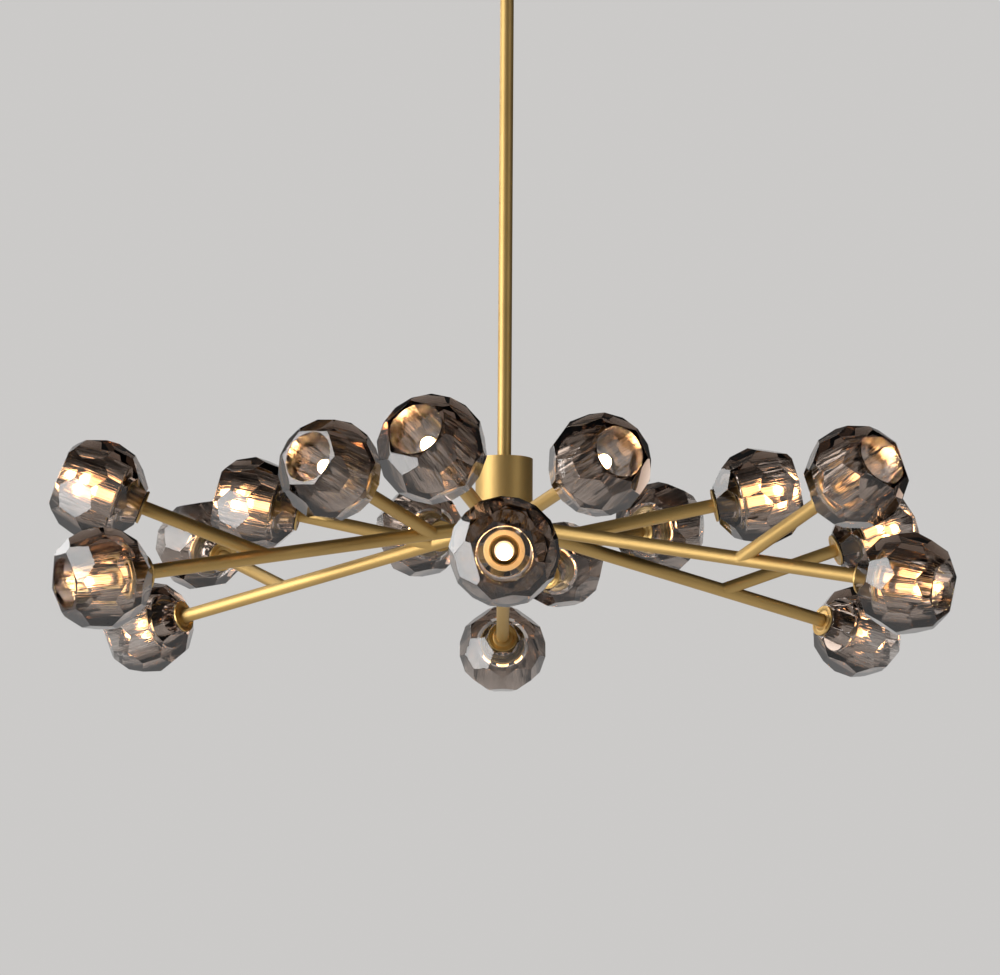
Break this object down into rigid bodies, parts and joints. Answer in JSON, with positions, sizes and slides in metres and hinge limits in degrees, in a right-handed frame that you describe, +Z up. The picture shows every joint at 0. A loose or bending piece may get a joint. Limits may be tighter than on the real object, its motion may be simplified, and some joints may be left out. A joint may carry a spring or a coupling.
{
  "type": "chandelier",
  "caption": "Hanging chandelier: branching brass tube arms round a hub on a jointed stem, each tube end with a lamp inside a faceted smoked crystal ball that is open at its front.",
  "frame": {"origin": "on the stem's axis, in the plane of the ceiling, midway between the mounting bar's two slots", "axes": "+Z up towards the ceiling, everything hangs below; arm 1 points along -Y and the others follow counter-clockwise seen from above, 60 degrees apart; +X along the mounting bar"},
  "size_m": [0.9993, 1.0962, 0.9144],
  "materials": {
    "smoked_crystal": "polished facets",
    "satin_brass": "fine satin",
    "lamp_glass": "frosted, lit",
    "ceramic": "glazed white",
    "gasket_rubber": "matte",
    "plated_steel": "zinc plated",
    "green_screw": "dull green"
  },
  "bodies": {
    "ceiling_mount": {"mounting_bar": "plated_steel", "bar_nuts": "plated_steel", "hollow_stud": "satin_brass", "canopy": "satin_brass", "canopy_ring": "satin_brass", "ground_screw": "green_screw"},
    "swivel": {"swivel_fork": "satin_brass", "hinge_pin": "plated_steel"},
    "fixture": {"arm_1": "satin_brass", "crystal_1_end": "smoked_crystal", "crystal_1_outer": "smoked_crystal", "crystal_1_inner": "smoked_crystal", "socket_cups_1": "satin_brass", "lamps_1": "lamp_glass", "arm_2": "satin_brass", "crystal_2_end": "smoked_crystal", "crystal_2_outer": "smoked_crystal", "crystal_2_inner": "smoked_crystal", "socket_cups_2": "satin_brass", "lamps_2": "lamp_glass", "arm_3": "satin_brass", "crystal_3_end": "smoked_crystal", "crystal_3_outer": "smoked_crystal", "crystal_3_inner": "smoked_crystal", "socket_cups_3": "satin_brass", "lamps_3": "lamp_glass", "arm_4": "satin_brass", "crystal_4_end": "smoked_crystal", "crystal_4_outer": "smoked_crystal", "crystal_4_inner": "smoked_crystal", "socket_cups_4": "satin_brass", "lamps_4": "lamp_glass", "arm_5": "satin_brass", "crystal_5_end": "smoked_crystal", "crystal_5_outer": "smoked_crystal", "crystal_5_inner": "smoked_crystal", "socket_cups_5": "satin_brass", "lamps_5": "lamp_glass", "arm_6": "satin_brass", "crystal_6_end": "smoked_crystal", "crystal_6_outer": "smoked_crystal", "crystal_6_inner": "smoked_crystal", "socket_cups_6": "satin_brass", "lamps_6": "lamp_glass", "outer_branches": "satin_brass", "inner_branches": "satin_brass", "neck_gaskets": "gasket_rubber", "retaining_rings": "satin_brass", "lamp_holders": "ceramic", "arm_nuts": "plated_steel", "hub_shell": "satin_brass", "hub_cover": "satin_brass", "hub_nipple": "satin_brass", "hub_nut": "plated_steel", "lower_rod": "satin_brass", "rod_coupling": "satin_brass", "upper_rod": "satin_brass", "stem_head": "satin_brass"}
  },
  "joints": [
    {"name": "turn", "type": "hinge", "parent": "ceiling_mount", "child": "swivel", "pos_m": [0, 0, -0.0293], "axis": [0, 0, 1], "range_deg": [-162, 162]},
    {"name": "tilt", "type": "hinge", "parent": "swivel", "child": "fixture", "pos_m": [0, 0, -0.0503], "axis": [1, 0, 0], "range_deg": [-30, 30]}
  ]
}
